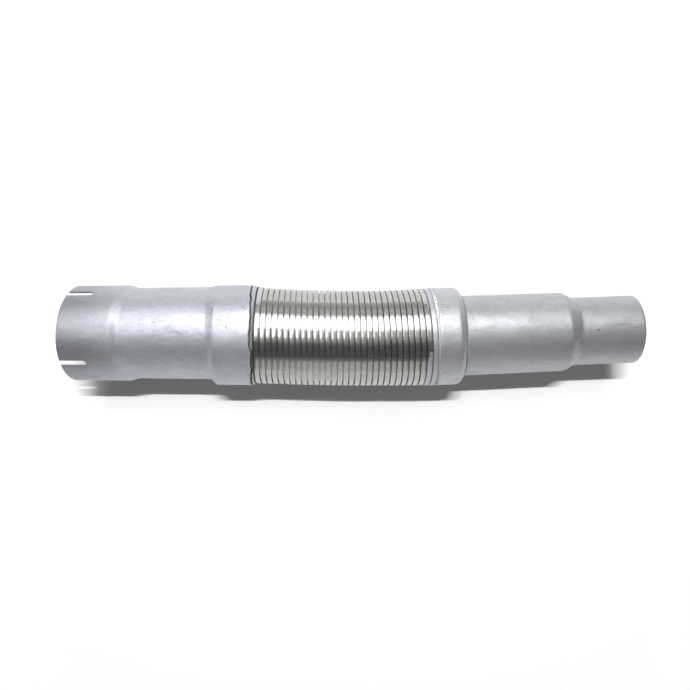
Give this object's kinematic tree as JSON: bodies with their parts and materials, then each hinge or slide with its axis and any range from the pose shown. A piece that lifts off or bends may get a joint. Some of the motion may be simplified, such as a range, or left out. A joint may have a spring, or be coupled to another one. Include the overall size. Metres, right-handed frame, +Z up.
{
  "type": "flexible exhaust pipe with interlocked metal hose",
  "caption": "Flexible exhaust connecting pipe: slotted slip-on socket tube, strip-wound interlocked steel hose that bends and stretches, and a collar with a reduced spigot tube.",
  "frame": {"origin": "middle of the bottom of the bounding box, where the pipe lies on its bell", "axes": "+X along the pipe from the socket rim towards the spigot, +Y to the side the hose bends towards, +Z up"},
  "size_m": [0.6206, 0.1128, 0.1121],
  "materials": {
    "silver_paint": "satin silver heat-resistant paint on steel tube, dusty and lightly marked",
    "polished_strip": "bright rolled stainless strip, clean bands with dark gaps",
    "sprayed_strip": "stainless strip covered with silver overspray",
    "hidden_steel": "dull unpainted steel inside the ends",
    "weld": "rough sealed weld, painted over"
  },
  "bodies": {
    "inlet": {"socket_tube": "silver_paint", "inlet_weld_bead": "weld", "inlet_inner_sleeve": "hidden_steel", "hose_end_inlet": "hidden_steel", "hose_turn_01": "polished_strip"},
    "turn_02": {"hose_turn_02": "polished_strip"},
    "turn_03": {"hose_turn_03": "polished_strip"},
    "turn_04": {"hose_turn_04": "polished_strip"},
    "turn_05": {"hose_turn_05": "polished_strip"},
    "turn_06": {"hose_turn_06": "polished_strip"},
    "turn_07": {"hose_turn_07": "polished_strip"},
    "turn_08": {"hose_turn_08": "polished_strip"},
    "turn_09": {"hose_turn_09": "polished_strip"},
    "turn_10": {"hose_turn_10": "polished_strip"},
    "turn_11": {"hose_turn_11": "polished_strip"},
    "turn_12": {"hose_turn_12": "polished_strip"},
    "turn_13": {"hose_turn_13": "polished_strip"},
    "turn_14": {"hose_turn_14": "polished_strip"},
    "turn_15": {"hose_turn_15": "polished_strip"},
    "turn_16": {"hose_turn_16": "polished_strip"},
    "turn_17": {"hose_turn_17": "polished_strip"},
    "turn_18": {"hose_turn_18": "polished_strip"},
    "turn_19": {"hose_turn_19": "polished_strip"},
    "turn_20": {"hose_turn_20": "polished_strip"},
    "turn_21": {"hose_turn_21": "polished_strip"},
    "turn_22": {"hose_turn_22": "polished_strip"},
    "turn_23": {"hose_turn_23": "polished_strip"},
    "turn_24": {"hose_turn_24": "polished_strip"},
    "turn_25": {"hose_turn_25": "polished_strip"},
    "turn_26": {"hose_turn_26": "polished_strip"},
    "turn_27": {"hose_turn_27": "polished_strip"},
    "turn_28": {"hose_turn_28": "polished_strip"},
    "turn_29": {"hose_turn_29": "polished_strip"},
    "turn_30": {"hose_turn_30": "polished_strip"},
    "outlet": {"hose_end_outlet": "sprayed_strip", "outlet_inner_sleeve": "hidden_steel", "outlet_weld_bead": "weld", "spigot_collar": "silver_paint", "spigot_weld_bead": "weld", "spigot_tube": "silver_paint"}
  },
  "joints": [
    {"name": "side_bend_inlet_01", "type": "hinge", "parent": "inlet", "child": "turn_02", "pos_m": [-0.09868, -0.00047, 0.05605], "axis": [0, 0, 1], "range_deg": [-0.7, 0.7]},
    {"name": "lift_bend_inlet_02", "type": "hinge", "parent": "turn_02", "child": "turn_03", "pos_m": [-0.0925, -0.00077, 0.05605], "axis": [-0.0478, -0.9989, 0], "range_deg": [-0.7, 0.7]},
    {"name": "side_bend_inlet_03", "type": "hinge", "parent": "turn_03", "child": "turn_04", "pos_m": [-0.08633, -0.00106, 0.05605], "axis": [0, 0, 1], "range_deg": [-0.7, 0.7]},
    {"name": "lift_bend_inlet_04", "type": "hinge", "parent": "turn_04", "child": "turn_05", "pos_m": [-0.08016, -0.00133, 0.05605], "axis": [-0.0417, -0.9991, 0], "range_deg": [-0.7, 0.7]},
    {"name": "stretch_05", "type": "slide", "parent": "turn_05", "child": "turn_06", "axis": [0.9993, -0.0386, 0], "range_m": [-0.00065, 0.0024]},
    {"name": "side_bend_inlet_06", "type": "hinge", "parent": "turn_06", "child": "turn_07", "pos_m": [-0.06781, -0.0018, 0.05605], "axis": [0, 0, 1], "range_deg": [-0.7, 0.7]},
    {"name": "lift_bend_inlet_07", "type": "hinge", "parent": "turn_07", "child": "turn_08", "pos_m": [-0.06163, -0.00201, 0.05605], "axis": [-0.0325, -0.9995, 0], "range_deg": [-0.7, 0.7]},
    {"name": "side_bend_inlet_08", "type": "hinge", "parent": "turn_08", "child": "turn_09", "pos_m": [-0.05545, -0.00221, 0.05605], "axis": [0, 0, 1], "range_deg": [-0.7, 0.7]},
    {"name": "lift_bend_inlet_09", "type": "hinge", "parent": "turn_09", "child": "turn_10", "pos_m": [-0.04927, -0.00238, 0.05605], "axis": [-0.0264, -0.9997, 0], "range_deg": [-0.7, 0.7]},
    {"name": "stretch_10", "type": "slide", "parent": "turn_10", "child": "turn_11", "axis": [0.9997, -0.0233, 0], "range_m": [-0.00065, 0.0024]},
    {"name": "side_bend_inlet_11", "type": "hinge", "parent": "turn_11", "child": "turn_12", "pos_m": [-0.03692, -0.00267, 0.05605], "axis": [0, 0, 1], "range_deg": [-0.7, 0.7]},
    {"name": "lift_bend_inlet_12", "type": "hinge", "parent": "turn_12", "child": "turn_13", "pos_m": [-0.03074, -0.00278, 0.05605], "axis": [-0.0172, -0.9999, 0], "range_deg": [-0.7, 0.7]},
    {"name": "side_bend_inlet_13", "type": "hinge", "parent": "turn_13", "child": "turn_14", "pos_m": [-0.02456, -0.00288, 0.05605], "axis": [0, 0, 1], "range_deg": [-0.7, 0.7]},
    {"name": "lift_bend_inlet_14", "type": "hinge", "parent": "turn_14", "child": "turn_15", "pos_m": [-0.01838, -0.00296, 0.05605], "axis": [-0.0111, -0.9999, 0], "range_deg": [-0.7, 0.7]},
    {"name": "stretch_15", "type": "slide", "parent": "turn_15", "child": "turn_16", "axis": [1, -0.0081, 0], "range_m": [-0.00065, 0.0024]},
    {"name": "side_bend_outlet_16", "type": "hinge", "parent": "turn_16", "child": "turn_17", "pos_m": [-0.00602, -0.00306, 0.05605], "axis": [0, 0, 1], "range_deg": [-0.7, 0.7]},
    {"name": "lift_bend_outlet_17", "type": "hinge", "parent": "turn_17", "child": "turn_18", "pos_m": [0.00016, -0.00308, 0.05605], "axis": [-0.002, -1, 0], "range_deg": [-0.7, 0.7]},
    {"name": "side_bend_outlet_18", "type": "hinge", "parent": "turn_18", "child": "turn_19", "pos_m": [0.00634, -0.00308, 0.05605], "axis": [0, 0, 1], "range_deg": [-0.7, 0.7]},
    {"name": "lift_bend_outlet_19", "type": "hinge", "parent": "turn_19", "child": "turn_20", "pos_m": [0.01252, -0.00307, 0.05605], "axis": [0.0041, -1, 0], "range_deg": [-0.7, 0.7]},
    {"name": "stretch_20", "type": "slide", "parent": "turn_20", "child": "turn_21", "axis": [1, 0.0072, 0], "range_m": [-0.00065, 0.0024]},
    {"name": "side_bend_outlet_21", "type": "hinge", "parent": "turn_21", "child": "turn_22", "pos_m": [0.02488, -0.00298, 0.05605], "axis": [0, 0, 1], "range_deg": [-0.7, 0.7]},
    {"name": "lift_bend_outlet_22", "type": "hinge", "parent": "turn_22", "child": "turn_23", "pos_m": [0.03106, -0.0029, 0.05605], "axis": [0.0133, -0.9999, 0], "range_deg": [-0.7, 0.7]},
    {"name": "side_bend_outlet_23", "type": "hinge", "parent": "turn_23", "child": "turn_24", "pos_m": [0.03724, -0.00281, 0.05605], "axis": [0, 0, 1], "range_deg": [-0.7, 0.7]},
    {"name": "lift_bend_outlet_24", "type": "hinge", "parent": "turn_24", "child": "turn_25", "pos_m": [0.04342, -0.0027, 0.05605], "axis": [0.0194, -0.9998, 0], "range_deg": [-0.7, 0.7]},
    {"name": "stretch_25", "type": "slide", "parent": "turn_25", "child": "turn_26", "axis": [0.9997, 0.0225, 0], "range_m": [-0.00065, 0.0024]},
    {"name": "side_bend_outlet_26", "type": "hinge", "parent": "turn_26", "child": "turn_27", "pos_m": [0.05577, -0.00242, 0.05605], "axis": [0, 0, 1], "range_deg": [-0.7, 0.7]},
    {"name": "lift_bend_outlet_27", "type": "hinge", "parent": "turn_27", "child": "turn_28", "pos_m": [0.06195, -0.00226, 0.05605], "axis": [0.0286, -0.9996, 0], "range_deg": [-0.7, 0.7]},
    {"name": "side_bend_outlet_28", "type": "hinge", "parent": "turn_28", "child": "turn_29", "pos_m": [0.06813, -0.00207, 0.05605], "axis": [0, 0, 1], "range_deg": [-0.7, 0.7]},
    {"name": "lift_bend_outlet_29", "type": "hinge", "parent": "turn_29", "child": "turn_30", "pos_m": [0.07431, -0.00187, 0.05605], "axis": [0.0347, -0.9994, 0], "range_deg": [-0.7, 0.7]},
    {"name": "stretch_30", "type": "slide", "parent": "turn_30", "child": "outlet", "axis": [0.9993, 0.0377, 0], "range_m": [-0.00065, 0.0024]}
  ],
  "couplings": [
    {"joint": "side_bend_inlet_03", "follows": "side_bend_inlet_01", "ratio": 1},
    {"joint": "lift_bend_inlet_04", "follows": "lift_bend_inlet_02", "ratio": 1},
    {"joint": "side_bend_inlet_06", "follows": "side_bend_inlet_01", "ratio": 1},
    {"joint": "lift_bend_inlet_07", "follows": "lift_bend_inlet_02", "ratio": 1},
    {"joint": "side_bend_inlet_08", "follows": "side_bend_inlet_01", "ratio": 1},
    {"joint": "lift_bend_inlet_09", "follows": "lift_bend_inlet_02", "ratio": 1},
    {"joint": "stretch_10", "follows": "stretch_05", "ratio": 1},
    {"joint": "side_bend_inlet_11", "follows": "side_bend_inlet_01", "ratio": 1},
    {"joint": "lift_bend_inlet_12", "follows": "lift_bend_inlet_02", "ratio": 1},
    {"joint": "side_bend_inlet_13", "follows": "side_bend_inlet_01", "ratio": 1},
    {"joint": "lift_bend_inlet_14", "follows": "lift_bend_inlet_02", "ratio": 1},
    {"joint": "stretch_15", "follows": "stretch_05", "ratio": 1},
    {"joint": "side_bend_outlet_18", "follows": "side_bend_outlet_16", "ratio": 1},
    {"joint": "lift_bend_outlet_19", "follows": "lift_bend_outlet_17", "ratio": 1},
    {"joint": "stretch_20", "follows": "stretch_05", "ratio": 1},
    {"joint": "side_bend_outlet_21", "follows": "side_bend_outlet_16", "ratio": 1},
    {"joint": "lift_bend_outlet_22", "follows": "lift_bend_outlet_17", "ratio": 1},
    {"joint": "side_bend_outlet_23", "follows": "side_bend_outlet_16", "ratio": 1},
    {"joint": "lift_bend_outlet_24", "follows": "lift_bend_outlet_17", "ratio": 1},
    {"joint": "stretch_25", "follows": "stretch_05", "ratio": 1},
    {"joint": "side_bend_outlet_26", "follows": "side_bend_outlet_16", "ratio": 1},
    {"joint": "lift_bend_outlet_27", "follows": "lift_bend_outlet_17", "ratio": 1},
    {"joint": "side_bend_outlet_28", "follows": "side_bend_outlet_16", "ratio": 1},
    {"joint": "lift_bend_outlet_29", "follows": "lift_bend_outlet_17", "ratio": 1},
    {"joint": "stretch_30", "follows": "stretch_05", "ratio": 1}
  ]
}
